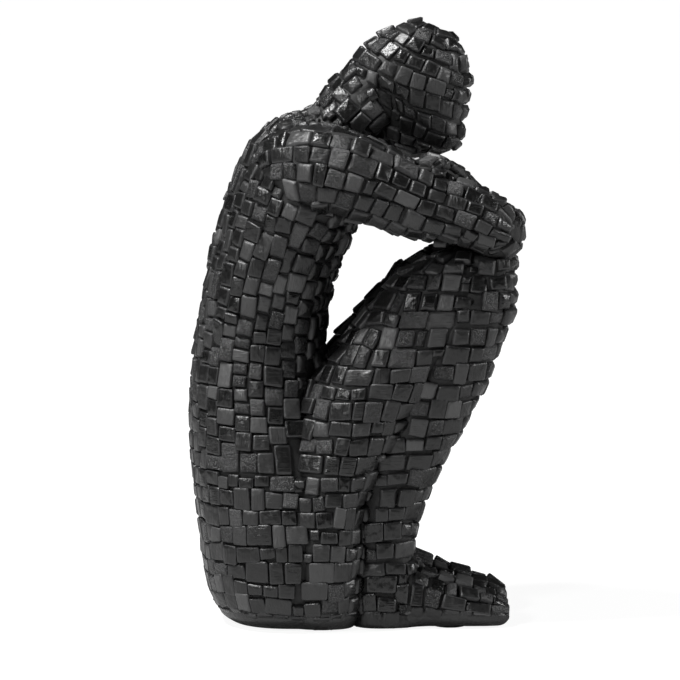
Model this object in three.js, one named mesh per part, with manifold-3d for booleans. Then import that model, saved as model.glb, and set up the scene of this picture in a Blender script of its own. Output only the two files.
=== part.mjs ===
// A seated, folded human figure in cast resin: six castings pinned together over dowels, on four felt pads.
// Millimetres. The figure faces +X, its left side is +Y and +Z is up.
// The origin is on the table, under the middle of the figure.
import * as THREE from "three";
import { mergeVertices } from "three/addons/utils/BufferGeometryUtils.js";
import Module from "manifold-3d";

const wasm = await Module();
wasm.setup();

// Sizes that are set by themselves, in millimetres.
const figureHeight = 250; // the whole figure, from table to crown: every section below follows it
const glueGap = 0.3; // the glue line between two castings, and round a dowel
const padThickness = 0.8; // the castings stand this far off the table
const seatPadRadius = 9;
const footPadRadius = 7;
const dowelRadius = 3;
const neckDowelLength = 30;
const shoulderDowelLength = 20;
const hipDowelLength = 26;
const blockPitch = 14; // the mosaic in coarse: one block here stands for a group of four on the figure
const grooveWidth = 2.6; // between two blocks, at their tops
const grooveDepth = 1.8;
const rubbedHeight = 11.5; // the grooves fade out below this, where the casting is rubbed smooth

// Proportions of the body, in thousandths of the figure's height.
const shoulderSpread = 141; // from the middle of the figure to the middle of each shoulder
const elbowSpread = 129; // the same at the elbow
const hipSpread = 84.5; // at the top of the thigh
const kneeSpread = 76.5; // at the knee
const footSpread = 64; // at the foot
const headLean = 22; // degrees that the head's long axis leans forward
const fullness = 2.3; // power of the rounded sections: 2 is an ellipse, and more is squarer

// How finely a form is faceted.
const stepsPerSpan = 20; // for measuring along a limb
const leastBlocks = 5; // round a thin limb
const dowelSides = 16;
const padSides = 24;

// The sections of the body, all in thousandths of the figure's height: where the middle of the section lies,
// and its half depth and half width.
// The torso from seat to shoulders. Each section leans forward by its own angle, in degrees.
const torsoSections = [
  { x: -104.5, z: 0, depth: 102.5, width: 116.5, lean: 0 }, // seat
  { x: -110.5, z: 20, depth: 121.5, width: 143, lean: 0 }, // edge of the seat
  { x: -118.5, z: 64.5, depth: 134, width: 161, lean: 0 }, // buttocks
  { x: -126.5, z: 161, depth: 138.5, width: 167, lean: 0 }, // hips
  { x: -143, z: 265.5, depth: 134.5, width: 159, lean: 1 }, // pelvis
  { x: -159, z: 370, depth: 120.5, width: 143, lean: 4 }, // loins
  { x: -159, z: 474.5, depth: 110, width: 132.5, lean: 9 }, // waist
  { x: -144.5, z: 577, depth: 106, width: 147, lean: 15 }, // ribs
  { x: -112, z: 677.5, depth: 110, width: 163, lean: 18 }, // chest
  { x: -82.5, z: 756, depth: 104.5, width: 161, lean: 24 }, // shoulders
  { x: -60.5, z: 808.5, depth: 70.5, width: 124.5, lean: 30 }, // collar
  { x: -44, z: 832.5, depth: 32, width: 60.5, lean: 34 }, // nape
];
const seat = torsoSections[0];
const pelvis = torsoSections[4];
const shoulders = torsoSections[9];

// The head, by its distance along its own leaning axis and forward of it, from the middle of the head.
const headMiddle = { x: 82.5, z: 900.5 };
const headSections = [
  { along: -116.5, forward: 44, depth: 24, width: 20 },
  { along: -108.5, forward: 44, depth: 40, width: 32 },
  { along: -88.5, forward: 42, depth: 66.5, width: 48.5 },
  { along: -64.5, forward: 38, depth: 86.5, width: 62.5 },
  { along: -36, forward: 18, depth: 99.5, width: 74.5 },
  { along: 0, forward: 4, depth: 104.5, width: 82.5 },
  { along: 36, forward: 9, depth: 93, width: 79 },
  { along: 70.5, forward: 10, depth: 70.5, width: 63.5 },
  { along: 91.5, forward: 9, depth: 46.5, width: 42 },
  { along: 101.5, forward: 9, depth: 20, width: 18 },
];

// The neck, from between the shoulders up into the head. Depth is front to back, square to its run.
const neckSections = [
  { x: -108.5, z: 764, depth: 76.5, width: 84.5 },
  { x: -38, z: 814, depth: 59, width: 66 },
  { x: 9.5, z: 863.5, depth: 66.5, width: 66 },
  { x: 54, z: 891.5, depth: 60, width: 56 },
];

// The upper arms, from inside the shoulder to the elbow on the knee. Depth is up and down, and out is how
// far a section lies outside the shoulder's spread.
const shoulderSections = [
  { x: -163, z: 752, depth: 22, width: 20, out: -56 },
  { x: -145, z: 757, depth: 44, width: 38, out: -48 },
  { x: -112.5, z: 765, depth: 62, width: 52, out: -30 },
  { x: -60.5, z: 766, depth: 73.5, width: 63.5, out: -3 },
  { x: 0, z: 751, depth: 70, width: 56.5, out: 8 },
];
const rightElbow = [
  { x: 104.5, z: 706, depth: 62.5, width: 52.5 },
  { x: 181, z: 687.5, depth: 53, width: 49.5 },
  { x: 224.5, z: 664.5, depth: 45.5, width: 47.5 },
  { x: 249.5, z: 655.5, depth: 28, width: 28 },
];
const leftElbow = [
  { x: 96.5, z: 707.5, depth: 54.5, width: 52.5 },
  { x: 165, z: 675.5, depth: 46, width: 48.5 },
  { x: 199, z: 661.5, depth: 42, width: 46 },
  { x: 223, z: 655.5, depth: 28, width: 28 },
];

// The two forearms cross on the knees: the right one lies in front and low, the left one behind it and high.
// Here y is measured from the middle of the figure towards the hand.
const rightForearm = [
  { x: 225, y: -149, z: 658.5, depth: 28, width: 28 },
  { x: 227, y: -120.5, z: 659.5, depth: 46, width: 48.5 },
  { x: 229, y: -48.5, z: 659.5, depth: 44, width: 46 },
  { x: 232.5, y: 32, z: 657.5, depth: 39.5, width: 40 },
  { x: 229, y: 84.5, z: 652.5, depth: 33, width: 40 },
  { x: 222.5, y: 132.5, z: 647.5, depth: 28, width: 38 },
  { x: 217, y: 157, z: 644.5, depth: 16, width: 24 },
];
const leftForearm = [
  { x: 199, y: -149, z: 659.5, depth: 28, width: 28 },
  { x: 195, y: -120.5, z: 664.5, depth: 44, width: 48.5 },
  { x: 175, y: -44, z: 691.5, depth: 45, width: 46 },
  { x: 153, y: 28, z: 721, depth: 42, width: 42 },
  { x: 132.5, y: 80.5, z: 746, depth: 33, width: 42 },
  { x: 110.5, y: 124.5, z: 764, depth: 25, width: 40 },
  { x: 100.5, y: 151, z: 763, depth: 15, width: 26 },
];

// The thigh and the shin, folded hard together, as level sections from the knee down to the table.
const thighSections = [
  { x: -60.5, z: 0, depth: 52.5, width: 44 },
  { x: -58.5, z: 36, depth: 64.5, width: 72 },
  { x: -55, z: 120.5, depth: 66, width: 86 },
  { x: -49, z: 221, depth: 70, width: 87.5 },
  { x: -18, z: 321.5, depth: 91, width: 87.5 },
  { x: 25, z: 410, depth: 105.5, width: 85.5 },
  { x: 76, z: 482.5, depth: 102.5, width: 80.5 },
  { x: 124, z: 547, depth: 97, width: 74.5 },
  { x: 157, z: 595, depth: 84.5, width: 64.5 },
  { x: 179, z: 619.5, depth: 54.5, width: 48.5 },
  { x: 185, z: 631.5, depth: 22, width: 20 },
];
const shinSections = [
  { x: 47, z: 0, depth: 52, width: 50 },
  { x: 47, z: 80.5, depth: 52, width: 50 },
  { x: 48, z: 161, depth: 52.5, width: 50 },
  { x: 68, z: 241.5, depth: 61, width: 56 },
  { x: 110, z: 329.5, depth: 67, width: 62.5 },
  { x: 144, z: 406, depth: 71, width: 68.5 },
  { x: 171.5, z: 474.5, depth: 69, width: 68.5 },
  { x: 190, z: 531, depth: 67.5, width: 66.5 },
  { x: 201, z: 583, depth: 63.5, width: 62.5 },
  { x: 203, z: 615, depth: 57, width: 54 },
  { x: 203, z: 634.5, depth: 30, width: 28 },
];

// The foot, from heel to toes. Depth is its half height, so its lower part is cut off flat at the pads.
const footSections = [
  { x: -4, z: 36, depth: 20, width: 20 },
  { x: 12, z: 40, depth: 44, width: 38 },
  { x: 56.5, z: 48.5, depth: 61, width: 44 },
  { x: 108.5, z: 45.5, depth: 52.5, width: 47.5 },
  { x: 153, z: 38, depth: 41.5, width: 50.5 },
  { x: 201, z: 32, depth: 34.5, width: 50.5 },
  { x: 235, z: 26.5, depth: 28, width: 42 },
  { x: 251.5, z: 26.5, depth: 16, width: 26 },
];

const resin = new THREE.MeshStandardMaterial({ color: 0x1b1b1c, roughness: 0.42, metalness: 0 });
const felt = new THREE.MeshStandardMaterial({ color: 0x151515, roughness: 0.95, metalness: 0 });
const steel = new THREE.MeshStandardMaterial({ color: 0x9a9a9c, roughness: 0.35, metalness: 1 });

const unit = figureHeight / 1000; // one thousandth of the height, in millimetres
const reach = 3 * figureHeight; // farther than any part of the figure

const UP = new THREE.Vector3(0, 0, 1);
const LEFT = new THREE.Vector3(0, 1, 0);
const RIGHT_SIDE = -1;
const LEFT_SIDE = 1;

// A closed geometry as a solid that can be cut and joined.
function solidOf(geometry) {
  const bare = geometry.clone();
  bare.deleteAttribute("normal");
  bare.deleteAttribute("uv");
  const merged = mergeVertices(bare);
  return new wasm.Manifold(
    new wasm.Mesh({
      numProp: 3,
      vertProperties: merged.attributes.position.array,
      triVerts: new Uint32Array(merged.index.array),
    }),
  );
}

// The largest body of a solid, without the crumbs and closed bubbles that its cuts left.
function mainBody(solid) {
  return solid.decompose().reduce((best, body) => (body.volume() > best.volume() ? body : best));
}

// A solid as a named mesh with a material of its own.
function piece(name, solid, material) {
  const made = solid.getMesh();
  const geometry = new THREE.BufferGeometry();
  geometry.setAttribute("position", new THREE.BufferAttribute(made.vertProperties, made.numProp));
  geometry.setIndex(new THREE.BufferAttribute(made.triVerts, 1));
  geometry.computeVertexNormals();
  const mesh = new THREE.Mesh(geometry, material.clone());
  mesh.name = name;
  return mesh;
}

// The directions of a section's depth and width: leaning by a stated angle, or square to the limb's run.
function sectionFrame(lean, tangent) {
  if (lean !== null) {
    const angle = THREE.MathUtils.degToRad(lean);
    return { depth: new THREE.Vector3(Math.cos(angle), 0, -Math.sin(angle)), width: LEFT };
  }
  const width = new THREE.Vector3().crossVectors(tangent, UP).normalize();
  return { depth: new THREE.Vector3().crossVectors(width, tangent).normalize(), width };
}

// The rings of a limb, by their share of its length: three at each groove between two courses of blocks, and
// one at each section in the rounded ends. Each course is turned by half a block from the one before it.
function ringsAlong(run, sectionCount) {
  run.arcLengthDivisions = (sectionCount - 1) * stepsPerSpan;
  const lengths = run.getLengths();
  const length = run.getLength();
  const courses = Math.max(2, Math.round(length / blockPitch));
  const half = grooveWidth / 2 / length;
  const rings = [];
  for (let course = 1; course < courses; course++) {
    const share = course / courses;
    rings.push({ share: share - half, turned: ((course - 1) % 2) / 2, inGroove: false, isEnd: false });
    rings.push({ share, turned: 1 / 4, inGroove: true, isEnd: false });
    rings.push({ share: share + half, turned: (course % 2) / 2, inGroove: false, isEnd: false });
  }
  for (let section = 0; section < sectionCount; section++) {
    const share = lengths[section * stepsPerSpan] / length;
    const course = Math.min(Math.floor(share * courses), courses - 1);
    const isEnd = section === 0 || section === sectionCount - 1;
    const isRounded = course === 0 || course === courses - 1;
    const toGroove = Math.abs(share - Math.round(share * courses) / courses);
    if (isEnd || (isRounded && toGroove > 2 * half)) {
      rings.push({ share, turned: (course % 2) / 2, inGroove: false, isEnd });
    }
  }
  return rings.sort((a, b) => a.share - b.share);
}

// The lines round a limb, in turns: the sides and the bottom of each groove between the blocks of a course.
function linesRound(sizes) {
  const girth = Math.max(...sizes.map((s) => 2 * Math.PI * Math.sqrt((s.x ** 2 + s.y ** 2) / 2)));
  const blocks = Math.max(leastBlocks, Math.round(girth / blockPitch));
  const half = grooveWidth / 2 / girth;
  const lines = [];
  for (let block = 0; block < blocks; block++) {
    lines.push({ turn: block / blocks - half, inGroove: false });
    lines.push({ turn: block / blocks, inGroove: true });
    lines.push({ turn: block / blocks + half, inGroove: false });
  }
  return { lines, blockTurn: 1 / blocks };
}

// A limb as a closed skin over rounded sections, smoothed from one section to the next and grooved into
// blocks. grow makes it larger all round, with no grooves, for cutting its neighbours back by the glue line.
function limb(sections, { leans = false, grow = 0 } = {}) {
  const middles = sections.map((s) => new THREE.Vector3(s.x, s.y ?? 0, s.z).multiplyScalar(unit));
  const sizes = sections.map((s) => new THREE.Vector3(s.depth * unit, s.width * unit, s.lean ?? 0));
  const run = new THREE.CatmullRomCurve3(middles, false, "catmullrom");
  const girth = new THREE.CatmullRomCurve3(sizes, false, "catmullrom");
  const rings = ringsAlong(run, sections.length);
  const { lines, blockTurn } = linesRound(sizes);
  const rounding = 2 / fullness;
  const positions = [];
  const centres = [];
  rings.forEach((ring, index) => {
    const share = run.getUtoTmapping(ring.share);
    const tangent = run.getTangent(share);
    const size = girth.getPoint(share);
    const centre = run.getPoint(share);
    if (index === 0) centre.addScaledVector(tangent, -grow);
    if (index === rings.length - 1) centre.addScaledVector(tangent, grow);
    centres.push(centre);
    const frame = sectionFrame(leans ? size.z : null, tangent);
    for (const line of lines) {
      const angle = 2 * Math.PI * (line.turn + ring.turned * blockTurn);
      const across = Math.sign(Math.cos(angle)) * Math.abs(Math.cos(angle)) ** rounding;
      const aside = Math.sign(Math.sin(angle)) * Math.abs(Math.sin(angle)) ** rounding;
      const pointAt = (lift) => centre.clone()
        .addScaledVector(frame.depth, across * (size.x + lift))
        .addScaledVector(frame.width, aside * (size.y + lift));
      const isCut = grow === 0 && !ring.isEnd && (ring.inGroove || line.inGroove);
      const fade = THREE.MathUtils.smoothstep(pointAt(0).z, padThickness, rubbedHeight);
      const point = pointAt(isCut ? -grooveDepth * fade : grow);
      positions.push(point.x, point.y, point.z);
    }
  });
  const bottomPole = positions.length / 3;
  for (const centre of [centres[0], centres[rings.length - 1]]) positions.push(centre.x, centre.y, centre.z);
  const faces = [];
  for (let line = 0; line < lines.length; line++) {
    const next = (line + 1) % lines.length;
    for (let ring = 0; ring < rings.length - 1; ring++) {
      const low = ring * lines.length;
      const high = low + lines.length;
      faces.push(low + line, low + next, high + next, low + line, high + next, high + line);
    }
    const last = (rings.length - 1) * lines.length;
    faces.push(bottomPole, next, line, bottomPole + 1, last + line, last + next);
  }
  const geometry = new THREE.BufferGeometry();
  geometry.setAttribute("position", new THREE.Float32BufferAttribute(positions, 3));
  geometry.setIndex(faces);
  return solidOf(geometry);
}

// A round bar centred on a point, along a direction.
function bar(centre, direction, length, radius, sides) {
  const geometry = new THREE.CylinderGeometry(radius, radius, length, sides);
  const turn = new THREE.Quaternion().setFromUnitVectors(LEFT, direction.clone().normalize());
  geometry.applyQuaternion(turn).translate(centre.x, centre.y, centre.z);
  return solidOf(geometry);
}

// Everything above the tops of the pads, as one block that is larger than the figure.
function aboveTable() {
  const block = new THREE.BoxGeometry(reach, reach, reach);
  return solidOf(block.translate(0, 0, padThickness + reach / 2));
}

// Everything on one side of the figure, from a stated distance off its middle.
function halfSpace(side, from) {
  const block = new THREE.BoxGeometry(reach, reach, 2 * reach);
  return solidOf(block.translate(0, side * (from + reach / 2), 0));
}

function torsoForm(grow) {
  return limb(torsoSections, { leans: true, grow });
}

function headForm(grow) {
  const angle = THREE.MathUtils.degToRad(headLean);
  const skull = headSections.map((s) => ({
    x: headMiddle.x + s.along * Math.sin(angle) + s.forward * Math.cos(angle),
    z: headMiddle.z + s.along * Math.cos(angle) - s.forward * Math.sin(angle),
    depth: s.depth,
    width: s.width,
    lean: headLean,
  }));
  return limb(skull, { leans: true, grow }).add(limb(neckSections, { grow }));
}

// side is -1 for the figure's right and 1 for its left.
function armForm(side, elbow, forearm, grow) {
  const upperArm = [
    ...shoulderSections.map((s) => ({ ...s, y: side * (shoulderSpread + s.out) })),
    ...elbow.map((s) => ({ ...s, y: side * elbowSpread })),
  ];
  const crossing = forearm.map((s) => ({ ...s, y: -side * s.y }));
  return limb(upperArm, { grow }).add(limb(crossing, { grow }));
}

// A leg's sections, set out from the middle of the figure by how high they are between two spreads.
function spreadOut(sections, side, lowSpread, highSpread) {
  const top = sections[sections.length - 1].z;
  return sections.map((s) => {
    const y = THREE.MathUtils.lerp(lowSpread, highSpread, THREE.MathUtils.smoothstep(s.z, 0, top));
    return { ...s, y: side * y, lean: 0 };
  });
}

function legForm(side, grow) {
  const foot = footSections.map((s) => ({ ...s, y: side * footSpread }));
  const leg = limb(spreadOut(thighSections, side, hipSpread, kneeSpread), { leans: true, grow })
    .add(limb(spreadOut(shinSections, side, footSpread, kneeSpread), { leans: true, grow }))
    .add(limb(foot, { grow }));
  return leg.intersect(halfSpace(side, glueGap / 2 - grow));
}

// The dowels that hold the castings together, each half in one casting and half in the other.
const [neckFoot, neckMiddle, neckTop] = neckSections;
const dowels = [
  {
    name: "neck_dowel",
    centre: new THREE.Vector3(neckMiddle.x, 0, neckMiddle.z).multiplyScalar(unit),
    direction: new THREE.Vector3(neckTop.x - neckFoot.x, 0, neckTop.z - neckFoot.z),
    length: neckDowelLength,
  },
];
for (const [word, side] of [["right", RIGHT_SIDE], ["left", LEFT_SIDE]]) {
  dowels.push({
    name: `${word}_shoulder_dowel`,
    centre: new THREE.Vector3(shoulders.x, side * shoulderSpread, shoulders.z).multiplyScalar(unit),
    direction: LEFT,
    length: shoulderDowelLength,
  });
  const hipSeam = pelvis.x + pelvis.depth * Math.sqrt(1 - (hipSpread / pelvis.width) ** 2);
  dowels.push({
    name: `${word}_hip_dowel`,
    centre: new THREE.Vector3(hipSeam, side * hipSpread, pelvis.z).multiplyScalar(unit),
    direction: new THREE.Vector3(1, 0, 0),
    length: hipDowelLength,
  });
}
const sockets = dowels
  .map((d) => bar(d.centre, d.direction, d.length + 2 * glueGap, dowelRadius + glueGap, dowelSides))
  .reduce((all, one) => all.add(one));

// The felt pads: two under the seat and one under each foot.
const pads = [];
const ball = footSections[4]; // the ball of the foot
for (const [word, side] of [["right", RIGHT_SIDE], ["left", LEFT_SIDE]]) {
  pads.push({ name: `${word}_seat_pad`, x: seat.x, y: (side * seat.width) / 2, radius: seatPadRadius });
  pads.push({ name: `${word}_foot_pad`, x: ball.x, y: side * footSpread, radius: footPadRadius });
}

// Each casting is its own form, cut back by the glue line from the castings that were set before it.
const rightLeg = legForm(RIGHT_SIDE, 0);
const leftLeg = legForm(LEFT_SIDE, 0);
const grownTorso = torsoForm(glueGap);
const grownLegs = legForm(RIGHT_SIDE, glueGap).add(legForm(LEFT_SIDE, glueGap));
const grownRightArm = armForm(RIGHT_SIDE, rightElbow, rightForearm, glueGap);
const grownLeftArm = armForm(LEFT_SIDE, leftElbow, leftForearm, glueGap);
const castings = {
  torso_casting: torsoForm(0),
  right_leg_casting: rightLeg.subtract(grownTorso),
  left_leg_casting: leftLeg.subtract(grownTorso),
  right_arm_casting: armForm(RIGHT_SIDE, rightElbow, rightForearm, 0)
    .subtract(grownTorso).subtract(grownLegs),
  left_arm_casting: armForm(LEFT_SIDE, leftElbow, leftForearm, 0)
    .subtract(grownTorso).subtract(grownLegs).subtract(grownRightArm),
  head_casting: headForm(0).subtract(grownTorso).subtract(grownRightArm).subtract(grownLeftArm),
};

const figure = new THREE.Group();
const standing = aboveTable();
for (const [name, form] of Object.entries(castings)) {
  figure.add(piece(name, mainBody(form.intersect(standing).subtract(sockets)), resin));
}
for (const dowel of dowels) {
  const pin = bar(dowel.centre, dowel.direction, dowel.length, dowelRadius, dowelSides);
  figure.add(piece(dowel.name, pin, steel));
}
for (const pad of pads) {
  const centre = new THREE.Vector3(pad.x * unit, pad.y * unit, padThickness / 2);
  figure.add(piece(pad.name, bar(centre, UP, padThickness, pad.radius, padSides), felt));
}

// The origin goes under the middle of the figure.
const middle = new THREE.Box3().setFromObject(figure).getCenter(new THREE.Vector3());
for (const mesh of figure.children) {
  mesh.geometry.translate(-middle.x, -middle.y, 0);
}

export default figure;
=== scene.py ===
# %% [markdown]
# # A seated figure in black mosaic resin
#
# The real object is a cast figure, folded over its drawn-up knees, whose whole skin is a relief of small
# hand-set blocks with dark grooves between them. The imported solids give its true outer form. Here each
# casting gets a rough bed a little below that form, and blocks that stand on it up to that form.

# %% Load the solids
from collections import namedtuple

import bpy
import numpy as np
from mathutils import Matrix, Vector
from numpy.linalg import norm


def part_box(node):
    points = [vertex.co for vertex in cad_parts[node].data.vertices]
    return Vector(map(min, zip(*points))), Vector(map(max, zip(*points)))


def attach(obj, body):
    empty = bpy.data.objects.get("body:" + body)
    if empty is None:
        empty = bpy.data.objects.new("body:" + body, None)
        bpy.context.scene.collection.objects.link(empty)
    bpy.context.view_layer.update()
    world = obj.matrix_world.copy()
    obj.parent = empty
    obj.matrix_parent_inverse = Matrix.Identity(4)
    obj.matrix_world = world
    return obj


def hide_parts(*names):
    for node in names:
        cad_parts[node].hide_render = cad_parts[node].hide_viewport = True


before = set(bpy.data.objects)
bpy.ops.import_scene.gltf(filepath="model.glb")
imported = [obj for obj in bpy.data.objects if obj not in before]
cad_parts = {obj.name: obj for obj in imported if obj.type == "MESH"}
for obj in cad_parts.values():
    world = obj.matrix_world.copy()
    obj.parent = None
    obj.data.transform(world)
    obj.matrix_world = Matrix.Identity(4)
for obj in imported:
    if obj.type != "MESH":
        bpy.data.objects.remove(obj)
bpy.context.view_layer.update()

# %% [markdown]
# ## The body as a few sections
#
# A limb is a smooth skin over rounded sections, as a sculptor sets out an armature. The sections are in
# thousandths of the figure's height. They are the ones that the solids were made from, apart from a neck
# that is a little fuller at the sides, so a surface made here lies on the solid. A mesh could be sculpted
# instead, but a formula can be asked for any point, and the blocks need that.

# %% Sections of the body
HEIGHT = 0.250
UNIT = HEIGHT / 1000
FULLNESS = 2.3  # the power of a section: 2 is an ellipse, and a high one a rectangle
SHOULDER_SPREAD, ELBOW_SPREAD = 141, 129  # from the middle of the figure
HIP_SPREAD, KNEE_SPREAD, FOOT_SPREAD = 84.5, 76.5, 64
HEAD_LEAN = 22  # degrees forward
HEAD_MIDDLE = (82.5, 900.5)  # x, z

TORSO = [  # x, z, half depth, half width, lean in degrees
    (-104.5, 0, 102.5, 116.5, 0), (-110.5, 20, 121.5, 143, 0), (-118.5, 64.5, 134, 161, 0),
    (-126.5, 161, 138.5, 167, 0), (-143, 265.5, 134.5, 159, 1), (-159, 370, 120.5, 143, 4),
    (-159, 474.5, 110, 132.5, 9), (-144.5, 577, 106, 147, 15), (-112, 677.5, 110, 163, 18),
    (-82.5, 756, 104.5, 161, 24), (-60.5, 808.5, 70.5, 124.5, 30), (-44, 832.5, 32, 60.5, 34),
]
SKULL = [  # along the leaning axis of the head, forward of it, half depth, half width
    (-116.5, 44, 24, 20), (-108.5, 44, 40, 32), (-88.5, 42, 66.5, 48.5), (-64.5, 38, 86.5, 62.5),
    (-36, 18, 99.5, 74.5), (0, 4, 104.5, 82.5), (36, 9, 93, 79), (70.5, 10, 70.5, 63.5),
    (91.5, 9, 46.5, 42), (101.5, 9, 20, 18),
]
NECK = [(-108.5, 764, 76.5, 84.5), (-38, 814, 59, 76), (9.5, 863.5, 66.5, 78), (54, 891.5, 60, 68)]
SHOULDER = [  # x, z, half depth, half width, how far outside the shoulder's spread
    (-163, 752, 22, 20, -56), (-145, 757, 44, 38, -48), (-112.5, 765, 62, 52, -30),
    (-60.5, 766, 73.5, 63.5, -3), (0, 751, 70, 56.5, 8),
]
RIGHT_ELBOW = [  # x, z, half depth, half width
    (104.5, 706, 62.5, 52.5), (181, 687.5, 53, 49.5), (224.5, 664.5, 45.5, 47.5), (249.5, 655.5, 28, 28),
]
LEFT_ELBOW = [
    (96.5, 707.5, 54.5, 52.5), (165, 675.5, 46, 48.5), (199, 661.5, 42, 46), (223, 655.5, 28, 28),
]
RIGHT_FOREARM = [  # x, y towards the hand, z, half depth, half width
    (225, -149, 658.5, 28, 28), (227, -120.5, 659.5, 46, 48.5), (229, -48.5, 659.5, 44, 46),
    (232.5, 32, 657.5, 39.5, 40), (229, 84.5, 652.5, 33, 40), (222.5, 132.5, 647.5, 28, 38),
    (217, 157, 644.5, 16, 24),
]
LEFT_FOREARM = [
    (199, -149, 659.5, 28, 28), (195, -120.5, 664.5, 44, 48.5), (175, -44, 691.5, 45, 46),
    (153, 28, 721, 42, 42), (132.5, 80.5, 746, 33, 42), (110.5, 124.5, 764, 25, 40),
    (100.5, 151, 763, 15, 26),
]
THIGH = [  # x, z, half depth, half width
    (-60.5, 0, 52.5, 44), (-58.5, 36, 64.5, 72), (-55, 120.5, 66, 86), (-49, 221, 70, 87.5),
    (-18, 321.5, 91, 87.5), (25, 410, 105.5, 85.5), (76, 482.5, 102.5, 80.5), (124, 547, 97, 74.5),
    (157, 595, 84.5, 64.5), (179, 619.5, 54.5, 48.5), (185, 631.5, 22, 20),
]
SHIN = [
    (47, 0, 52, 50), (47, 80.5, 52, 50), (48, 161, 52.5, 50), (68, 241.5, 61, 56), (110, 329.5, 67, 62.5),
    (144, 406, 71, 68.5), (171.5, 474.5, 69, 68.5), (190, 531, 67.5, 66.5), (201, 583, 63.5, 62.5),
    (203, 615, 57, 54), (203, 634.5, 30, 28),
]
FOOT = [
    (-4, 36, 20, 20), (12, 40, 44, 38), (56.5, 48.5, 61, 44), (108.5, 45.5, 52.5, 47.5),
    (153, 38, 41.5, 50.5), (201, 32, 34.5, 50.5), (235, 26.5, 28, 42), (251.5, 26.5, 16, 26),
]

# The solids were moved so that the origin is under the middle of the figure. A seat pad shows by how much.
pad_low, pad_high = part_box("right_seat_pad")
PAD_TOP = pad_high.z
SHIFT = np.array([(pad_low.x + pad_high.x) / 2 - TORSO[0][0] * UNIT, 0, 0])
print("pad top", round(1000 * PAD_TOP, 2), "mm, shift", np.round(1000 * SHIFT, 2), "mm")

# %% Limbs from their sections
Limb = namedtuple("Limb", "name table leans")


def limb(name, sections, leans):
    """A limb's table: each section's middle, half depth and half width in metres, and lean in radians."""
    table = np.array(sections, float)
    table[:, :5] *= UNIT
    table[:, :3] += SHIFT
    table[:, 5] = np.radians(table[:, 5])
    return Limb(name, table, leans)


def smooth_step(value, low, high):
    """0 below low, 1 above high, and an S-shaped curve between them."""
    share = np.clip((value - low) / (high - low), 0, 1)
    return share * share * (3 - 2 * share)


def make_limbs():
    """Every limb of the figure, by name. The side is -1 for its right and 1 for its left."""
    made = [limb("torso", [(x, 0, z, d, w, lean) for x, z, d, w, lean in TORSO], True)]
    sin, cos = np.sin(np.radians(HEAD_LEAN)), np.cos(np.radians(HEAD_LEAN))
    made.append(limb("skull", [
        (HEAD_MIDDLE[0] + a * sin + f * cos, 0, HEAD_MIDDLE[1] + a * cos - f * sin, d, w, HEAD_LEAN)
        for a, f, d, w in SKULL], True))
    made.append(limb("neck", [(x, 0, z, d, w, 0) for x, z, d, w in NECK], False))
    arms = (("right", -1, RIGHT_ELBOW, RIGHT_FOREARM), ("left", 1, LEFT_ELBOW, LEFT_FOREARM))
    for word, side, elbow, forearm in arms:
        arm = [(x, side * (SHOULDER_SPREAD + out), z, d, w, 0) for x, z, d, w, out in SHOULDER]
        arm += [(x, side * ELBOW_SPREAD, z, d, w, 0) for x, z, d, w in elbow]
        made.append(limb(word + "_arm", arm, False))
        made.append(limb(word + "_forearm", [(x, -side * y, z, d, w, 0) for x, y, z, d, w in forearm], False))
        for part, table, low in (("thigh", THIGH, HIP_SPREAD), ("shin", SHIN, FOOT_SPREAD)):
            spread = [low + (KNEE_SPREAD - low) * smooth_step(row[1], 0, table[-1][1]) for row in table]
            rows = [(x, side * y, z, d, w, 0) for y, (x, z, d, w) in zip(spread, table)]
            made.append(limb(f"{word}_{part}", rows, True))
        made.append(limb(word + "_foot", [(x, side * FOOT_SPREAD, z, d, w, 0) for x, z, d, w in FOOT], False))
    return {one.name: one for one in made}


LIMBS = make_limbs()
print(len(LIMBS), "limbs:", ", ".join(LIMBS))

# %% Points on a limb
TRIED = 6  # sections tried for each one in a table
PLAIN = 0.05  # weight of plain distance beside distance from a section's plane
PAST_END = 0.004  # farther than this from a section, a point is off a limb's end


def smooth_rows(table, run):
    """Rows between a table's rows: spans are cubics, with half the step across a row as its slope."""
    padded = np.vstack([2 * table[0] - table[1], table, 2 * table[-1] - table[-2]])
    span = np.clip(np.floor(run).astype(int), 0, len(table) - 2)
    f = (run - span)[..., None]
    before, start, end, after = (padded[span + i] for i in range(4))
    leave, arrive = (end - before) / 2, (after - start) / 2
    return (start * (2 * f**3 - 3 * f**2 + 1) + leave * (f**3 - 2 * f**2 + f)
            + end * (3 * f**2 - 2 * f**3) + arrive * (f**3 - f**2))


def unit(v):
    """Vectors at length one."""
    return v / np.maximum(norm(v, axis=-1, keepdims=True), 1e-12)


def section_frames(one, run):
    """The middle of each section, the directions of its depth and width, and its two half sizes."""
    rows = smooth_rows(one.table, run)
    if one.leans:
        lean = rows[..., 5]
        zero = np.zeros_like(lean)
        deep = np.stack([np.cos(lean), zero, -np.sin(lean)], -1)
        wide = np.stack([zero, zero + 1, zero], -1)
    else:
        step = 1e-3
        ahead, behind = (smooth_rows(one.table, run + way)[..., :3] for way in (step, -step))
        along = unit(ahead - behind)
        wide = unit(np.cross(along, [0.0, 0.0, 1.0]))
        deep = unit(np.cross(wide, along))
    return rows[..., :3], deep, wide, rows[..., 3], rows[..., 4]


def skin(one, run, turn, lift=0.0):
    """A point on a limb: run counts its sections, turn goes once round. The section is a rounded oval, a
    power between an ellipse and a rectangle, and lift makes it larger."""
    middle, deep, wide, depth, width = section_frames(one, run)
    cos, sin = np.cos(2 * np.pi * turn), np.sin(2 * np.pi * turn)
    power = 2 / FULLNESS
    a = np.sign(cos) * np.abs(cos) ** power * (depth + lift)
    b = np.sign(sin) * np.abs(sin) ** power * (width + lift)
    return middle + deep * a[..., None] + wide * b[..., None]


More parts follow.
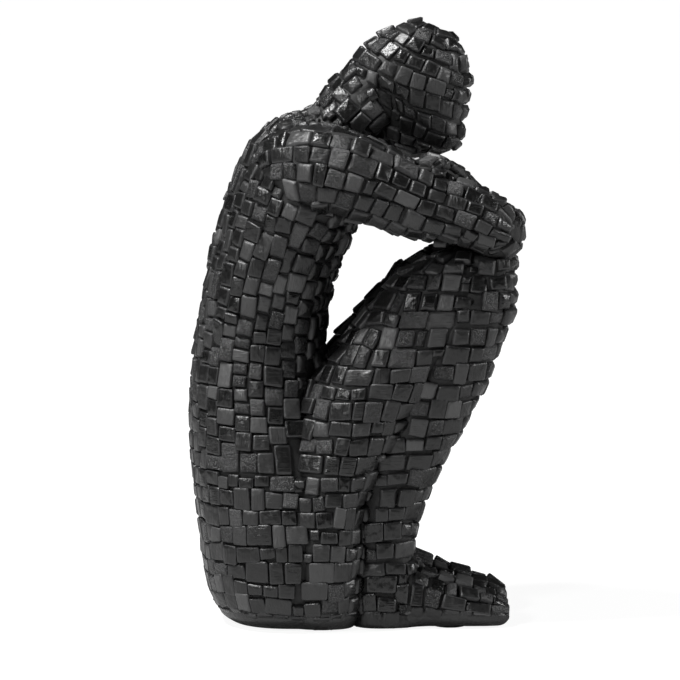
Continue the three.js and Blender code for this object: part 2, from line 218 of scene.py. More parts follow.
def depth_inside(one, points):
    """How deep points lie inside a limb, in metres, taken in the section whose plane is nearest."""
    run = np.linspace(0, len(one.table) - 1, TRIED * len(one.table))
    middle, deep, wide, depth, width = section_frames(one, run)
    normal = np.cross(deep, wide)
    away = points[:, None, :] - middle
    off = np.abs(np.einsum("prk,rk->pr", away, normal)) + PLAIN * norm(away, axis=-1)
    near = np.argmin(off, axis=1)
    away = away[np.arange(len(points)), near]
    a = np.abs(np.einsum("pk,pk->p", away, deep[near])) / depth[near]
    b = np.abs(np.einsum("pk,pk->p", away, wide[near])) / width[near]
    shape = (a**FULLNESS + b**FULLNESS) ** (1 / FULLNESS)
    beyond = np.abs(np.einsum("pk,pk->p", away, normal[near])) > PAST_END
    return np.where(beyond, -1.0, (1 - shape) * np.minimum(depth[near], width[near]))


def depth_in_others(one, points):
    """How deep points lie in the other limb that they are deepest in."""
    return np.max([depth_inside(other, points) for other in LIMBS.values() if other.name != one.name], axis=0)


def grid(one, rows, columns):
    """Runs and turns of a grid over a whole limb."""
    return np.meshgrid(np.linspace(0, len(one.table) - 1, rows), np.arange(columns) / columns, indexing="ij")


ends = skin(LIMBS["torso"], np.array([0.0, 11.0]), np.array([0.5, 0.5]))
print("torso at the seat and the nape", np.round(1000 * ends, 1), "mm")

# %% [markdown]
# ## How the blocks are set out
#
# The maker sets the blocks in rows that follow the body. Up the back and along the arms the long joints run
# with the limb and the cross joints are staggered, while the hips, thighs and shins have level courses like
# a wall. A brick texture would slide over a curved body, so each row is measured off along the skin itself
# and cut into blocks of uneven width. The lines between rows wander a little, and both neighbours share the
# line, so the grooves stay narrow.

# %% Widths and wandering lines
# rise, tip and twist are scatter, stray is how far lines wander, square is how square cells are made, start
# and end are sections, and above the height dome rows are measured over a rounded end
Setting = namedtuple("Setting", "rows tall broad groove rise tip twist stray square start end dome")
WIDTHS, ODDS = (1.0, 1.45, 0.74), (0.72, 0.15, 0.13)  # plain, long and short blocks
WAVES, STRENGTH = np.array([2, 5, 9]), np.array([0.5, 0.3, 0.25])


def block_edges(rng, length, pitch, least, mixed):
    """Where a row is cut into blocks, as shares of it. Mixed rows have some long and short blocks."""
    count = int(length / pitch * 1.6) + least + 3  # more than enough
    kinds = rng.choice(WIDTHS, size=count, p=ODDS) if mixed else np.ones(count)
    ends = np.cumsum(kinds * rng.uniform(0.9, 1.1, count)) * pitch
    keep = max(least, int(np.argmin(np.abs(ends - length))) + 1)
    return np.concatenate([[0.0], ends[:keep] / ends[keep - 1]])


def wander(rng, lines):
    """How far each line strays at a share of the way along it: three waves of chance phase."""
    phase = rng.uniform(0, 1, (lines, len(WAVES)))

    def stray(line, share):
        return np.sin(2 * np.pi * (share[:, None] * WAVES + phase[line])) @ STRENGTH

    return stray


sample = block_edges(np.random.default_rng(0), 0.060, 0.007, 3, True)
print("a sample row of 60 mm is cut at", np.round(60 * sample, 1), "mm")

# %% Rows across a limb, and rows along it
FINE = 400  # points at which a length is measured
UNEVEN = 0.10  # how far a block goes past its row, as a share of it
LAST_COURSE = 0.45  # the least height of the last course, in blocks
STAGGER = 0.4  # the most that a row's cross joints are shifted, in blocks
DOME_RISE = 0.01


def lengthwise(one, setting):
    """How far along a limb its sections lie: steps square to them, and on a dome also in size."""
    run = np.linspace(setting.start, min(setting.end, len(one.table) - 1), FINE)
    middle, deep, wide, depth, width = section_frames(one, run)
    step = np.einsum("rk,rk->r", np.diff(middle, axis=0), np.cross(deep, wide)[1:])
    domed = smooth_step(middle[1:, 2], setting.dome, setting.dome + DOME_RISE)
    step = np.sqrt(step**2 + domed * (np.diff(depth) ** 2 + np.diff(width) ** 2) / 2)
    return run, np.concatenate([[0.0], np.cumsum(step)])


def travelled(points):
    """How far along a line of points each one lies."""
    return np.concatenate([[0.0], np.cumsum(norm(np.diff(points, axis=0), axis=1))])


def girthwise(one, run):
    """Turns round a section, and how far round it they lie."""
    turn = np.linspace(0, 1, FINE)
    return turn, travelled(skin(one, np.full(FINE, run), turn))


def turns_at(one, run, shares):
    """The turns at shares of the way round a section's edge. A share may go past a full turn."""
    turn, far = girthwise(one, run)
    return np.interp(shares % 1, far / far[-1], turn) + np.floor(shares)


def cells_from(runs, turns):
    """Cells from the runs and the turns of their four corners, in order round each cell."""
    return np.stack([np.stack(runs, -1), np.stack(turns, -1)], -1)


def cells_across(one, rng, setting):
    """Courses round a limb: straying lines a block's height apart, cut by short joints."""
    run, far = lengthwise(one, setting)
    level = np.append(np.arange(0, far[-1] - LAST_COURSE * setting.tall, setting.tall), far[-1])
    line = np.interp(level, far, run)
    pitch = np.gradient(line)
    shift = wander(rng, len(line))
    cells = []
    for k in range(len(line) - 1):
        middle = (line[k] + line[k + 1]) / 2
        girth = girthwise(one, middle)[1][-1]
        edges = block_edges(rng, girth, setting.broad, 3, True) + rng.uniform(0, 1)
        turn = turns_at(one, middle, edges)
        low, high = (line[j] + setting.stray * pitch[j] * shift(j, edges) for j in (k, k + 1))
        slip = UNEVEN * pitch[k] * rng.uniform(-1, 1, (2, len(turn) - 1))
        cells.append(cells_from(
            [low[:-1] + slip[0], low[1:] + slip[0], high[1:] + slip[1], high[:-1] + slip[1]],
            [turn[:-1], turn[1:], turn[1:], turn[:-1]]))
    cells = np.concatenate(cells)
    cells[..., 0] = np.clip(cells[..., 0], run[0], run[-1])
    return cells


def cells_along(one, rng, setting):
    """Rows along a limb: long lines a block's width apart round it, cut by staggered cross joints."""
    run, far = lengthwise(one, setting)
    middle = float(np.interp(far[-1] / 2, far, run))
    girth = girthwise(one, middle)[1][-1]
    edges = block_edges(rng, girth, setting.broad, 3, False)
    rows = len(edges) - 1
    shift = wander(rng, rows)
    cells = []
    for k in range(rows):
        between = turns_at(one, middle, edges[k:k + 2].mean(keepdims=True))
        gone = travelled(skin(one, run, np.full(FINE, between[0])))
        cuts = block_edges(rng, gone[-1], setting.tall, 1, True)
        cuts[1:-1] += rng.uniform(-STAGGER, STAGGER) * setting.tall / gone[-1]
        at = np.interp(cuts, gone / gone[-1], run)
        left, right = (
            turns_at(one, middle, edges[j] + setting.stray * setting.broad / girth * shift(j % rows, cuts))
            for j in (k, k + 1))
        slip = UNEVEN / 2 * setting.broad / girth * rng.uniform(-1, 1, (2, len(at) - 1))
        cells.append(cells_from(
            [at[:-1], at[:-1], at[1:], at[1:]],
            [left[:-1] + slip[0], right[:-1] + slip[1], right[1:] + slip[1], left[1:] + slip[0]]))
    return np.concatenate(cells)


def end_cells(one):
    """One block on each rounded end of a limb."""
    turn = np.array([0.125, 0.375, 0.625, 0.875])
    last = len(one.table) - 1.0
    return np.stack([np.stack([np.zeros(4), turn[::-1]], -1), np.stack([np.full(4, last), turn], -1)])


print("the waist is", round(1000 * girthwise(LIMBS["torso"], 5.0)[1][-1]), "mm round")

# %% [markdown]
# ## Soft creases
#
# On the cast the shoulder runs into the back and the calf into the thigh with no sharp seam, because the
# modeller filled the creases before setting the blocks. So where two limbs meet, both skins are lifted:
# most on the line where they cross, and less and less away from it. A boolean and a bevel would do the same
# on a mesh, but not on a formula.

# %% Lift near a crease
CREASE = {  # how wide the fill is
    ("arm", "torso"): 0.0050, ("arm", "neck"): 0.0060, ("arm", "forearm"): 0.0022,
    ("neck", "torso"): 0.0040, ("neck", "skull"): 0.0040,
    ("shin", "thigh"): 0.0056, ("shin", "torso"): 0.0056,
    ("foot", "shin"): 0.0030, ("foot", "thigh"): 0.0040, ("foot", "torso"): 0.0040,
}
ON_KNEE = {("arm", "thigh"), ("forearm", "thigh"), ("arm", "shin"), ("forearm", "shin")}
KNEE_FILL = 0.0026  # where an arm rests on its own knee
BARE_FILL = 0.0006  # where limbs only lie on each other
ALL_ROUND, ON_SIDES = 0.2, 0.8  # the shares of a fill all round and on the sides alone
REACH = 0.025  # farther than this from another limb, a skin isn't lifted
DEEPEST = 0.004  # how far across a crease the lift goes on rising
PROBE = 0.001  # a step out of the skin, to feel which way the other one faces
CLOSED, OPEN = -0.97, -0.55  # how fast the depth falls in that step: level skins, a crease


def crease_size(one, other, sideways):
    """How wide the fill is where two limbs meet: widest on the sides of the figure, but even where an arm
    rests on its own knee."""
    words = tuple(sorted(each.name.split("_")[-1] for each in (one, other)))
    sides = {each.name.split("_")[0] for each in (one, other)} & {"left", "right"}
    if len(sides) < 2 and words in ON_KNEE:
        return np.full_like(sideways, KNEE_FILL)
    size = CREASE.get(words, BARE_FILL) if len(sides) < 2 else BARE_FILL
    return size * (ALL_ROUND + ON_SIDES * sideways)


def outward(one, run, turn):
    """The direction square to a limb's skin, from a small step along it and one round it."""
    point = skin(one, run, turn)
    square = unit(np.cross(skin(one, run, turn + 1e-3) - point, skin(one, run + 1e-2, turn) - point))
    away = point - section_frames(one, run)[0]
    return square * np.sign(np.einsum("...k,...k->...", square, away))[..., None]


def crease_lift(one, points, normals, across):
    """How far the skin of a limb is lifted: the most over the other limbs of the log of one plus a power of
    how deep the point is in one, times the size of the fill. Across the crease the lift goes on rising, or
    else it falls. Where the two skins lie almost level with each other, nothing is filled."""
    lift = np.zeros(len(points))
    for other in LIMBS.values():
        if other.name != one.name:
            deep = depth_inside(other, points)
            near = np.flatnonzero(deep > -REACH)
            size = crease_size(one, other, np.abs(normals[near, 1]))
            slope = (depth_inside(other, points[near] + PROBE * normals[near]) - deep[near]) / PROBE
            deep = np.minimum(deep[near], DEEPEST) if across else -np.abs(deep[near])
            opens = smooth_step(slope, CLOSED, OPEN)
            lift[near] = np.maximum(lift[near], opens * size * np.log1p(np.exp(deep / size)))
    return lift


def filled_skin(one, run, turn, across=False):
    """Points of a limb's skin, lifted near its creases."""
    plain, square = skin(one, run, turn).reshape(-1, 3), outward(one, run, turn).reshape(-1, 3)
    return skin(one, run, turn, crease_lift(one, plain, square, across).reshape(run.shape))


ring = np.full(5, 2.0), np.arange(5) / 5
raised = filled_skin(LIMBS["right_arm"], *ring) - skin(LIMBS["right_arm"], *ring)
print("lift over the right shoulder", np.round(1000 * norm(raised, axis=1), 1), "mm")

# %% [markdown]
# ## A single block
#
# Each block is a small stone-like square with rounded corners and a worn edge, pressed into the bed a
# little askew. It has a dozen points round it on four levels: its foot in the bed, the top of its wall, the
# edge of its face and a ring inside the face, which bulges a little. That is few enough for thousands of
# blocks, and a real wall and edge catch the light as no bump does.

# %% Shape of a block
SINK = 0.0040  # how far a block goes into the bed
CORNER = 0.18  # how round its corners are, as a share of half its width
CORNERS = ((-1, -1), (1, -1), (1, 1), (-1, 1))  # of a cell, across and along it
ROUND = 12  # points round a block on each level
WHOLE = 4 * ROUND + 1  # four levels, and the middle of its face
FACE, GROUND = 0, 1  # kinds of face: of a block, or of the ground between the blocks
Mesh = namedtuple("Mesh", "points faces kinds tone rim grain")


def outline():
    """The twelve points round a block, from -1 to 1: three on the arc of each rounded corner."""
    angle = np.radians(np.add.outer(np.arange(4) * 90, [0, 45, 90]))
    middle = np.radians(np.arange(4) * 90 + 45)
    x = np.sign(np.cos(middle))[:, None] * (1 - CORNER) + CORNER * np.cos(angle)
    y = np.sign(np.sin(middle))[:, None] * (1 - CORNER) + CORNER * np.sin(angle)
    return x.ravel(), y.ravel()


def block_faces(count):
    """The faces of one block after another: three belts of quads, a fan on the face, and the foot."""
    a = np.arange(ROUND)
    b = (a + 1) % ROUND
    belts = np.concatenate([np.stack([a, b, b + ROUND, a + ROUND], -1) + ROUND * k for k in range(3)])
    fan = np.stack([a, b, np.full(ROUND, ROUND)], -1) + 3 * ROUND
    start = WHOLE * np.arange(count)[:, None, None]
    return ((belts + start).reshape(-1, 4).tolist() + (fan + start).reshape(-1, 3).tolist()
            + (a[::-1] + start[:, 0]).tolist())


def squared(corners, share):
    """Cells made partly square: their corners go a share of the way to a rectangle on the middle."""
    middle = corners.mean(1)
    across = (corners[:, 1] + corners[:, 2] - corners[:, 0] - corners[:, 3]) / 2
    along = (corners[:, 2] + corners[:, 3] - corners[:, 0] - corners[:, 1]) / 2
    normal = unit(np.cross(across, along))
    aside = unit(np.cross(normal, across))
    along = aside * np.einsum("nk,nk->n", along, aside)[:, None]
    signs = np.array(CORNERS) / 2
    flat = middle[:, None] + signs[:, :1] * across[:, None] + signs[:, 1:] * along[:, None]
    return corners + share * (flat - corners), across, along, normal


print("a block has", WHOLE, "points and", len(block_faces(1)), "faces")

# %% Blocks from cells
RUBBED = 0.0030, 0.0115  # heights where the smooth foot ends and where relief is seen
LOW, HIGH = 0.07, 0.17  # heights where relief is still faint and where it is full
GROOVES = 0.4, 1.7  # the narrowest and the widest, as shares of the usual
ODD, ASKEW = 1 / 6, 1.8  # the share of blocks well askew, and how much more
MOST_TIP = 1.7  # as a share of the usual
BELOW = 0.0003  # how far the faces lie below the skin
EDGES, CROWNS = (0.00020, 0.00065), (0.00005, 0.00050)  # from the least to the most worn and bulging
FRONT = 0.5, 0.85  # the x of a normal where a face starts to look forward, and where it does
FRONT_EDGE, FRONT_CROWN = 0.0003, 0.0007  # what is then added
RIMS = 0, 0.8, 0.9, 0  # wear on each level, for the material
INNER, BULGE = 0.82, 0.55  # the ring inside the face: its size and its share of the bulge
LOOSE, CUT, HAND = 0.3, 0.045, 0.00004  # scatter of places, corners and points


def flush(z):
    """0 at the table, where the casting was rubbed smooth, and 1 above its lowest two courses."""
    return smooth_step(z, *RUBBED)


def blocks(corners, rng, setting):
    """Blocks on cells with known corners. A point is blended from the four corners, drawn in by half a
    groove, turned a little, and lifted along the cell's normal to its level, which a tip makes uneven. One
    in six is well askew. Faces that look forward bulge the most."""
    count = len(corners)
    corners, across, along, normal = squared(corners, setting.square)
    size = norm([across, along], axis=2)
    middle = corners.mean(1)
    height = middle[:, 2]
    relief = flush(height) * (0.45 + 0.6 * smooth_step(height, LOW, HIGH))
    groove = setting.groove * (0.45 + 0.55 * relief) * rng.uniform(*GROOVES, (2, count))
    shrink = np.clip(1 - groove / size, 0.5, 1)
    askew = np.where(rng.random(count) < ODD, ASKEW, 1.0) * relief
    twist = np.radians(setting.twist) * rng.normal(0, 1, count) * askew
    tip = np.radians(setting.tip) * np.clip(rng.normal(0, 1, (2, count)), -MOST_TIP, MOST_TIP) * askew
    top = (setting.rise * rng.normal(0, 1, count) - BELOW) * relief
    front = smooth_step(normal[:, 0], *FRONT) * relief
    edge = rng.uniform(*EDGES, count) * (0.45 + 0.75 * relief) + FRONT_EDGE * front
    crown = rng.uniform(*CROWNS, count) * (0.4 + 0.6 * relief) + FRONT_CROWN * front
    slide = rng.normal(0, LOOSE, (2, count)) * groove
    shape = np.stack([side + np.repeat(rng.normal(0, CUT, (count, 4)), 3, axis=1) for side in outline()])
    cos, sin = np.cos(twist)[:, None], np.sin(twist)[:, None]
    levels = []
    for worn, share, above in ((0, 1, -edge - SINK), (0, 1, -edge), (1, 1, 0), (1, INNER, BULGE * crown)):
        x, y = shape * share * (shrink - worn * 2 * edge / size)[..., None]
        x, y = np.stack([x * cos - y * sin, x * sin + y * cos]) + (slide / size)[..., None]
        weights = np.stack([(1 + i * x) * (1 + j * y) for i, j in CORNERS], -1) / 4
        point = np.einsum("npc,nck->npk", weights, corners)
        off = np.einsum("npk,nk->np", point - middle[:, None], normal)
        point = point - off[..., None] * normal[:, None]
        lean = (tip * size / 2)[..., None]
        lift = (top + above)[:, None] + (lean[0] * x + lean[1] * y)
        levels.append(point + lift[..., None] * normal[:, None, :])
    face = middle + (top + crown)[:, None] * normal
    points = np.concatenate(levels + [face[:, None]], 1)
    points += rng.normal(0, HAND, points.shape)
    points[..., 2] = np.maximum(points[..., 2], PAD_TOP)
    rim = np.tile(np.repeat(RIMS, [ROUND, ROUND, ROUND, ROUND + 1]), count)
    tone, grain = np.repeat(rng.random((2, count)), WHOLE, axis=1)
    faces = block_faces(count)
    return Mesh(points.reshape(-1, 3), faces, np.full(len(faces), FACE), tone, rim, grain)


print("relief at 2, 6 and 12 mm above the table", np.round(flush(np.array([0.002, 0.006, 0.012])), 2))

# %% [markdown]
# ## The bed under the blocks
#
# Between the blocks the casting is a rough, duller ground. It is the limb's own skin drawn in a little more
# than two millimetres, and near the table it comes up flush, because the casting's foot is smooth.

# %% Bed of a limb
BED_DEPTH = 0.0023
SHALLOWEST = 0.05  # the share of it left at the table
FOOT_TONE_WITH_PAINTED_BOUNCE = 0.8  # the tone of its smooth foot, made lighter as painted light bounced up from the table
SPANS, AROUND = 8, 96  # rings for each section of a limb, and points round a ring


def tube_faces(rings, around):
    """Quads between rings of points, and fans to a point in the middle of each end."""
    index = np.arange(rings * around).reshape(rings, around)
    beside = np.roll(index, -1, 1)
    quads = np.stack([index[:-1], beside[:-1], beside[1:], index[1:]], -1).reshape(-1, 4)
    low = np.stack([beside[0], index[0], np.full(around, index.size)], -1)
    high = np.stack([index[-1], beside[-1], np.full(around, index.size + 1)], -1)
    return quads, low.tolist() + high.tolist()


def bed(one):
    """A closed grid over a limb, drawn in by the bed's depth."""
    spans = SPANS * (len(one.table) - 1) + 1
    run, turn = grid(one, spans, AROUND)
    outer = filled_skin(one, run, turn)
    drop = BED_DEPTH * np.maximum(flush(outer[..., 2]), SHALLOWEST)
    points = outer - outward(one, run, turn) * drop[..., None]
    points = np.concatenate([points.reshape(-1, 3), points[[0, -1]].mean(1)])
    points[:, 2] = np.maximum(points[:, 2], PAD_TOP)
    quads, fans = tube_faces(spans, AROUND)
    # the smooth foot takes the block resin at a lighter tone: painted light bounced up from the table
    rubbed = flush(points[quads, 2].mean(1)) < 0.5
    kinds = np.concatenate([np.where(rubbed, FACE, GROUND), np.full(len(fans), GROUND)])
    blank = np.zeros(len(points))
    return Mesh(points, quads.tolist() + fans, kinds, blank + FOOT_TONE_WITH_PAINTED_BOUNCE, blank, blank)


print("the bed of the neck has", len(bed(LIMBS["neck"]).faces), "faces")

# %% [markdown]
# ## Setting the blocks on every limb
#
# Each limb is set out as if it were alone. Near a crease the rows of two limbs then compete for the same
# place, and a block deep inside another limb would never have been set. So the blocks that lie free are
# kept first, and those near a crease are added from the outside inwards, each one only where it has room
# beside the blocks of the other limb.

# %% Rows, sizes and scatter of the blocks on each limb
LEVEL = 1.0  # higher than any dome: rows are measured straight up
EVERY = 99  # past the last section of any limb
SEAT = Setting("across", 0.0074, 0.0068, 0.0007, 0.00030, 5.0, 1.6, 0.24, 0.7, 0, 4, LEVEL)
BACK = Setting("along", 0.0076, 0.0066, 0.0007, 0.00042, 5.6, 2.0, 0.18, 0.7, 4, EVERY, LEVEL)
LEG = Setting("across", 0.0074, 0.0074, 0.0009, 0.00065, 7.0, 1.8, 0.22, 0.7, 0, EVERY, 0.140)
ARM = Setting("along", 0.0080, 0.0078, 0.0008, 0.00045, 6.0, 2.0, 0.18, 0.65, 0, EVERY, LEVEL)
HEAD = Setting("across", 0.0070, 0.0070, 0.0008, 0.00048, 6.0, 2.4, 0.20, 0.35, 0, EVERY, -1)
NAPE = Setting("along", 0.0068, 0.0072, 0.0007, 0.00045, 5.5, 3.0, 0.2, 0.5, 0, EVERY, LEVEL)
INSTEP = Setting("along", 0.0070, 0.0074, 0.0010, 0.00170, 11.0, 4.0, 0.18, 0.5, 0, EVERY, LEVEL)
CASTINGS = {
    "torso_casting": [("torso", SEAT), ("torso", BACK)],
    "head_casting": [("neck", NAPE), ("skull", HEAD)],
}
LIMB_ROWS = {
    "arm": [("arm", ARM), ("forearm", ARM)],
    "leg": [("thigh", LEG), ("shin", LEG), ("foot", INSTEP)],
}
for name, rows in LIMB_ROWS.items():
    for side in ("right", "left"):
        CASTINGS[f"{side}_{name}_casting"] = [(f"{side}_{part}", setting) for part, setting in rows]
Laid = namedtuple("Laid", "node limb setting rng corners depth")
LOWEST, BURIED = 0.0005, 0.003  # least height above the pads, and most depth in another limb
MOST_SLANT = np.cos(np.radians(40))  # the most that the fill may turn a block
NARROWEST = 0.0015  # the shortest side of a cell
CLEAR = 0.0020  # all blocks farther than this from other limbs are set
ROOM = 0.42  # least distance between two middles, as a share of both sizes
SHARES = (1.0, 0.75)  # of a cell, tried near a crease


def lay(node, one, setting, seed):
    """A limb's cells as corners on its filled skin, with how deep each one lies in another limb."""
    rng = np.random.default_rng(seed)
    cells = (cells_along if setting.rows == "along" else cells_across)(one, rng, setting)
    cells = np.concatenate([cells, end_cells(one)])
    plain = skin(one, cells[..., 0].mean(1), cells[..., 1].mean(1))
    depth = depth_in_others(one, plain)
    shown = (plain[:, 2] > PAD_TOP + LOWEST) & (depth < BURIED)
    cells, depth = cells[shown], depth[shown]
    corners = filled_skin(one, cells[..., 0], cells[..., 1], across=True)
    bare = skin(one, cells[..., 0], cells[..., 1])
    normal, bare_normal = (squared(some, 0.0)[3] for some in (corners, bare))
    fits = np.einsum("ck,ck->c", normal, bare_normal) > MOST_SLANT
    fits &= norm(corners - np.roll(corners, 1, 1), axis=-1).min(1) > NARROWEST
    return Laid(node, one.name, setting, rng, corners[fits], depth[fits])


def choose(laid):
    """The share of its cell that each block fills. Clear of other limbs it is 1. Near a crease, from the
    outside inwards, it is the first share with room beside the blocks of other limbs, or 0."""
    middle = np.concatenate([one.corners.mean(1) for one in laid])
    diagonals = [norm(one.corners[:, 2] - one.corners[:, 0], axis=1) for one in laid]
    size = np.concatenate(diagonals) / np.sqrt(2)
    depth = np.concatenate([one.depth for one in laid])
    names = np.concatenate([np.full(len(one.depth), one.limb) for one in laid])
    filled = (depth < -CLEAR).astype(float)
    for share in SHARES:
        for i in np.argsort(depth):
            if filled[i] == 0:
                rival = (filled > 0) & (names != names[i])
                away = norm(middle[rival] - middle[i], axis=1)
                if np.all(away > ROOM * (size[rival] * filled[rival] + size[i] * share)):
                    filled[i] = share
    return np.split(filled, np.cumsum([len(one.depth) for one in laid])[:-1])


def shrunk(corners, share):
    """Cells drawn in about their middles to a share of their size, and only those that have one."""
    middle = corners.mean(1, keepdims=True)
    return (middle + (corners - middle) * share[:, None, None])[share > 0]


LAID = [lay(node, LIMBS[name], setting, 100 * i + j)
        for i, (node, rows) in enumerate(CASTINGS.items(), 1) for j, (name, setting) in enumerate(rows)]
FILLED = choose(LAID)
CELLS = [shrunk(one.corners, share) for one, share in zip(LAID, FILLED)]
print("blocks set", sum(len(some) for some in CELLS), "of", sum(len(some) for some in FILLED), "laid out")

# %% [markdown]
# ## Small blocks for the gaps
#
# Where rows of two limbs meet, strips and corners stay bare. The maker cuts small pieces for them. Here a
# fine grid of spots near the creases is tested, the spot with the most room gets a block as large as fits,
# and so on until no gap is left that could hold one.

# %% Gaps near the creases
SPOT_STEP = 0.0017
NEAR, INSIDE, LOW_SPOT = 0.009, 0.0006, 0.004  # limits of spots: off a limb, in it, and in height
APART = 0.0028  # cells farther above or below a point don't count
LEAST_HALF, MOST_HALF = 0.0012, 0.0032  # half the width of gaps that are filled
TIGHT = 0.0006  # a small block is pressed in this much tighter than its gap


def clearance(points, cells):
    """How far points lie outside the nearest cell, along its sides."""
    gap = np.full(len(points), 1.0)
    for some in np.array_split(cells, 1 + len(cells) // 100):
        _, across, along, normal = squared(some, 1.0)
        away = points[:, None] - some.mean(1)
        aside, ahead, above = (
            np.abs(np.einsum("pck,ck->pc", away, unit(v))) for v in (across, along, normal))
        half = norm([across, along], axis=2) / 2
        out = np.maximum(aside - half[0], ahead - half[1])
        gap = np.minimum(gap, np.where(above > APART, 1.0, out).min(1))
    return gap


def spots(one):
    """A fine grid of points on a limb near its creases, and the two directions along the skin at each."""
    rows = int(norm(np.diff(one.table[:, :3], axis=0), axis=1).sum() / SPOT_STEP)
    columns = int(2 * np.pi * one.table[:, 3:5].max() / SPOT_STEP)
    run, turn = (some.ravel() for some in grid(one, rows, columns))
    plain = skin(one, run, turn)
    depth = depth_in_others(one, plain)
    near = (depth > -NEAR) & (depth < INSIDE) & (plain[:, 2] > LOW_SPOT)
    run, turn = run[near], turn[near]
    point = filled_skin(one, run, turn, across=True)
    across = unit(filled_skin(one, run, turn + 1e-3, across=True) - point)
    along = unit(filled_skin(one, run + 1e-2, turn, across=True) - point)
    return point, across, along


def small_cells(cells):
    """For each of the rows laid out, the cells of small blocks in its gaps: the widest gap first."""
    parts = [spots(LIMBS[one.limb]) for one in LAID]
    owner = np.concatenate([np.full(len(part[0]), i) for i, part in enumerate(parts)])
    point, across, along = (np.concatenate(some) for some in zip(*parts))
    gap = clearance(point, np.concatenate(cells))
    found = [[] for one in LAID]
    while gap.max() > LEAST_HALF:
        k = int(np.argmax(gap))
        half = min(gap[k], MOST_HALF) + TIGHT
        corners = point[k] + half * np.array([i * across[k] + j * along[k] for i, j in CORNERS])
        found[owner[k]].append(corners)
        gap = np.minimum(gap, clearance(point, corners[None]))
    return [np.array(some).reshape(-1, 4, 3) for some in found]


SMALL = small_cells(CELLS)
print("small blocks in gaps", sum(len(some) for some in SMALL))

# %% [markdown]
# ## Black resin
#
# The casting is dyed resin with a satin wax: almost black, a little paler and duller on the worn edges, and
# no two blocks quite alike. Chance numbers on every block vary its gloss and shade, and noise on Object
# coordinates adds the faint brush marks, and the pits that some of the blocks keep from the mould.

# %% Node helpers, and the resin of the grooves


def feed(node, **values):
    """Values for a node: settings of its own, starts of sockets, or outputs to link to sockets."""
    for key, value in values.items():
        if hasattr(node, key):
            setattr(node, key, value)
        elif isinstance(value, bpy.types.NodeSocket):
            node.id_data.links.new(value, node.inputs[key.replace("_", " ")])
        else:
            node.inputs[key.replace("_", " ")].default_value = value
    return node


def add(tree, kind, **values):
    """A new node of a kind, with its values."""
    return feed(tree.nodes.new(kind), **values)


def material(name):
    """A node material, its Principled shader and its Object coordinates."""
    made = bpy.data.materials.new(name)
    made.use_nodes = True
    tree = made.node_tree
    return made, tree.nodes["Principled BSDF"], add(tree, "ShaderNodeTexCoord").outputs["Object"]


def noise(place, **values):
    """Noise at a place."""
    return add(place.id_data, "ShaderNodeTexNoise", Vector=place, **values).outputs["Fac"]


def ramp(source, stops):
    """A colour ramp over a value, through grey levels at given places."""
    node = add(source.id_data, "ShaderNodeValToRGB", Fac=source)
    line = node.color_ramp
    for place, _ in stops[1:-1]:
        line.elements.new(place)
    for element, (place, grey) in zip(line.elements, stops):
        element.position = place
        element.color = (grey, grey, grey, 1)
    return node.outputs["Color"]


def maths(operation, *values):
    """The result of an operation on outputs and plain numbers."""
    node = add(values[0].id_data, "ShaderNodeMath", operation=operation)
    for socket, value in zip(node.inputs, values):
        if isinstance(value, float):
            socket.default_value = value
        else:
            node.id_data.links.new(value, socket)
    return node.outputs["Value"]


def blend(share, under, over):
    """One colour over another, by a share."""
    node = add(share.id_data, "ShaderNodeMix", data_type="RGBA", Factor=share, A=under, B=over)
    return node.outputs["Result"]


def bump(height, **values):
    """A normal that a height makes uneven."""
    return add(height.id_data, "ShaderNodeBump", Height=height, **values).outputs["Normal"]


def groove_resin():
    """Resin of the ground between the blocks: duller, with a coarse grain."""
    made, shader, place = material("groove_resin")
    grain = noise(place, Scale=700.0, Detail=6.0, Roughness=0.65)
    feed(shader, Specular_IOR_Level=0.3,
         Base_Color=ramp(grain, [(0.0, 0.012), (1.0, 0.027)]),
         Roughness=ramp(grain, [(0.0, 0.48), (1.0, 0.72)]),
         Normal=bump(grain, Distance=0.0004, Strength=0.5))
    return made


GROOVE_RESIN = groove_resin()
print(GROOVE_RESIN.name, "has", len(GROOVE_RESIN.node_tree.nodes), "nodes")

# %% Resin of the blocks


